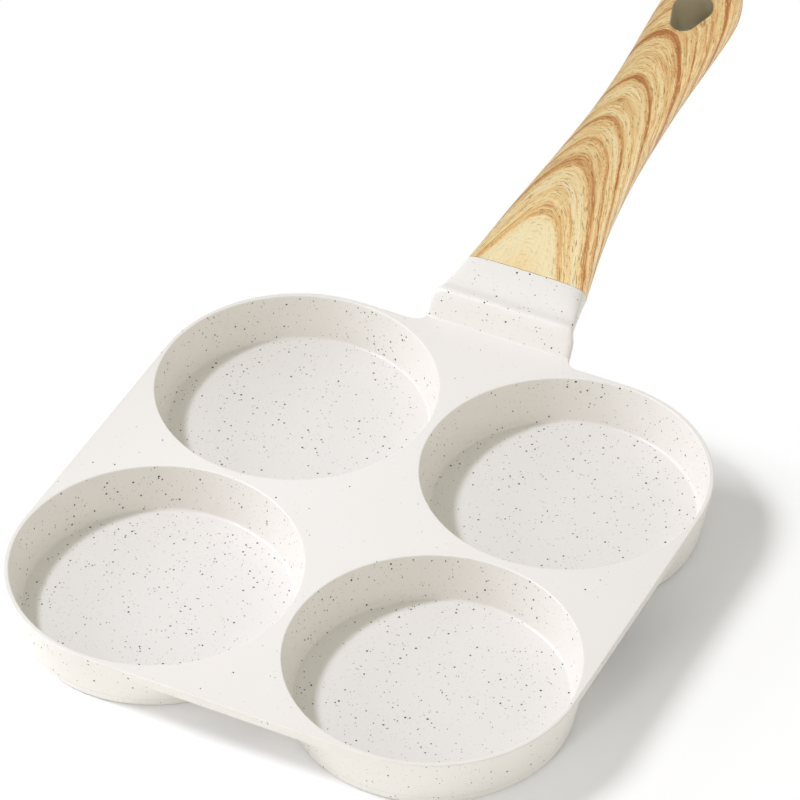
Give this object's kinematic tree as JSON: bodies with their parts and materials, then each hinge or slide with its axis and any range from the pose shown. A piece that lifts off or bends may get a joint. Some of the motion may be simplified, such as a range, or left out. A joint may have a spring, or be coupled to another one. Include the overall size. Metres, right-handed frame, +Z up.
{
  "type": "four-cup egg pan",
  "caption": "Square egg pan with round flat-bottomed cups cast into one thin deck, a stepped neck and a long wood-look grip with a hanging hole.",
  "frame": {"origin": "centre of the bounding box's footprint, on the surface that the base discs stand on", "axes": "+Z up out of the cups, +Y along the handle from the cups to the tail, +X to the right seen from the front"},
  "size_m": [0.19, 0.374, 0.0539],
  "materials": {
    "speckled_coating": "satin off-white non-stick coating with fine dark and tan specks",
    "base_steel": "turned steel with small punched dimples",
    "wood_print": "satin phenolic moulding with a printed wood grain",
    "fastener_steel": "bright zinc-plated steel"
  },
  "bodies": {
    "root": {"pan_body": "speckled_coating", "base_disc_front_left": "base_steel", "base_disc_front_right": "base_steel", "base_disc_back_left": "base_steel", "base_disc_back_right": "base_steel", "handle": "wood_print", "handle_screw": "fastener_steel", "screw_washer": "fastener_steel"}
  },
  "joints": []
}
